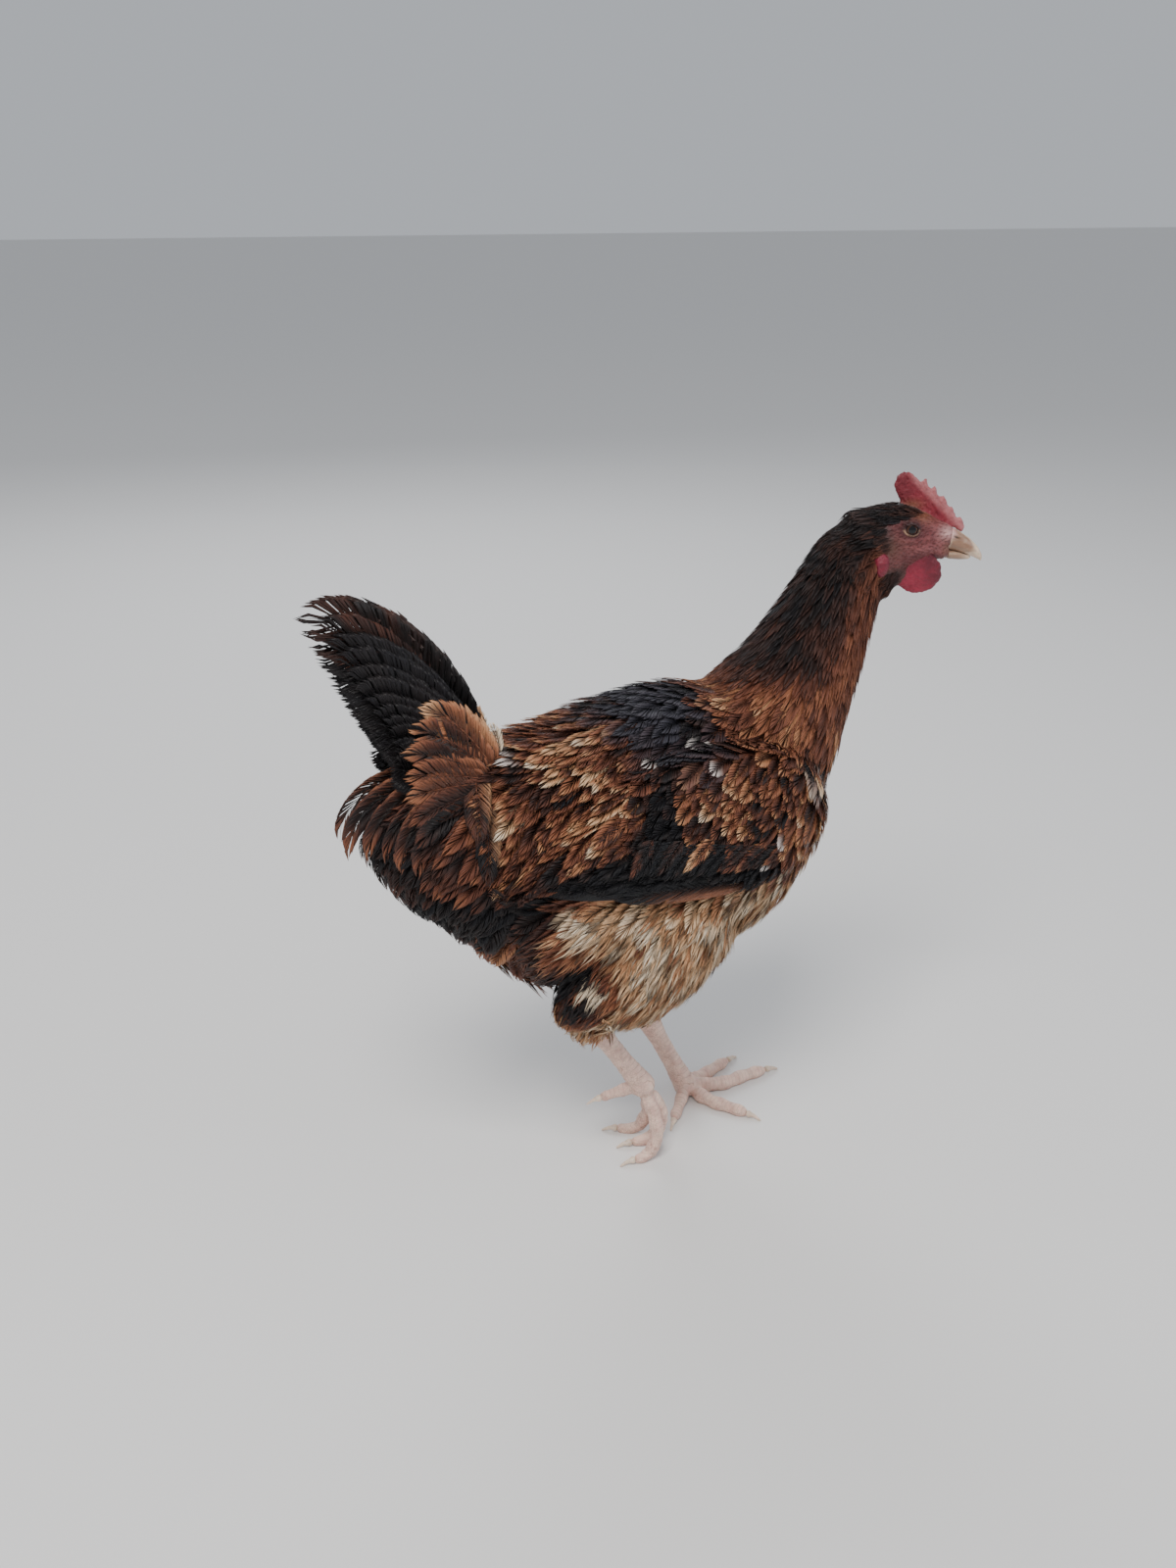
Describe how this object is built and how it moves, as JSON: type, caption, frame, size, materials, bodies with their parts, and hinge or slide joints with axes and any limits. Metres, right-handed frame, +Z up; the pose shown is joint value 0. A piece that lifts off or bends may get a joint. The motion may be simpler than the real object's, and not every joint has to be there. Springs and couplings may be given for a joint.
{
  "type": "chicken",
  "caption": "Walking chicken in life size: small red comb, dark neck, mottled russet and black body, upright tail, the left foot planted and the right one trailing on its toe tips.",
  "frame": {"origin": "centre of the bounding box's bottom, on the floor the toes stand on", "axes": "+X forward from tail to beak, +Y to the bird's left, +Z up"},
  "size_m": [0.3752, 0.1306, 0.3988],
  "materials": {
    "body": "mottled russet, gold and black contour feathers over skin",
    "hackle": "very dark brown neck hackles, russet in front",
    "face": "bare wrinkled red facial skin and dark crown",
    "belly": "loose buff down with dark spots",
    "wing": "glossy black and gold wing feathers",
    "tail": "black feather vanes with a blue-green sheen",
    "comb": "matt crimson skin",
    "horn": "smooth horn",
    "shank": "pale scaled skin",
    "eye": "wet and glossy"
  },
  "bodies": {
    "root": {"trunk": "body", "rump": "body", "neck": "hackle", "head": "face", "beak_upper": "horn", "beak_lower": "horn", "comb": "comb", "wattle_left": "comb", "earlobe_left": "comb", "eye_left": "eye", "wing_left": "wing", "thigh_left": "belly", "shank_left": "shank", "toe_back_left": "shank", "claw_back_left": "horn", "toe_inner_left": "shank", "claw_inner_left": "horn", "toe_middle_left": "shank", "claw_middle_left": "horn", "toe_outer_left": "shank", "claw_outer_left": "horn", "tail_feather_left_1": "tail", "tail_feather_left_2": "tail", "tail_feather_left_3": "tail", "tail_feather_left_4": "tail", "tail_feather_left_5": "tail", "tail_feather_left_6": "tail", "tail_feather_left_7": "tail", "tail_covert_left": "body", "wattle_right": "comb", "earlobe_right": "comb", "eye_right": "eye", "wing_right": "wing", "thigh_right": "belly", "shank_right": "shank", "toe_back_right": "shank", "claw_back_right": "horn", "toe_inner_right": "shank", "claw_inner_right": "horn", "toe_middle_right": "shank", "claw_middle_right": "horn", "toe_outer_right": "shank", "claw_outer_right": "horn", "tail_feather_right_1": "tail", "tail_feather_right_2": "tail", "tail_feather_right_3": "tail", "tail_feather_right_4": "tail", "tail_feather_right_5": "tail", "tail_feather_right_6": "tail", "tail_feather_right_7": "tail", "tail_covert_right": "body"}
  },
  "joints": []
}
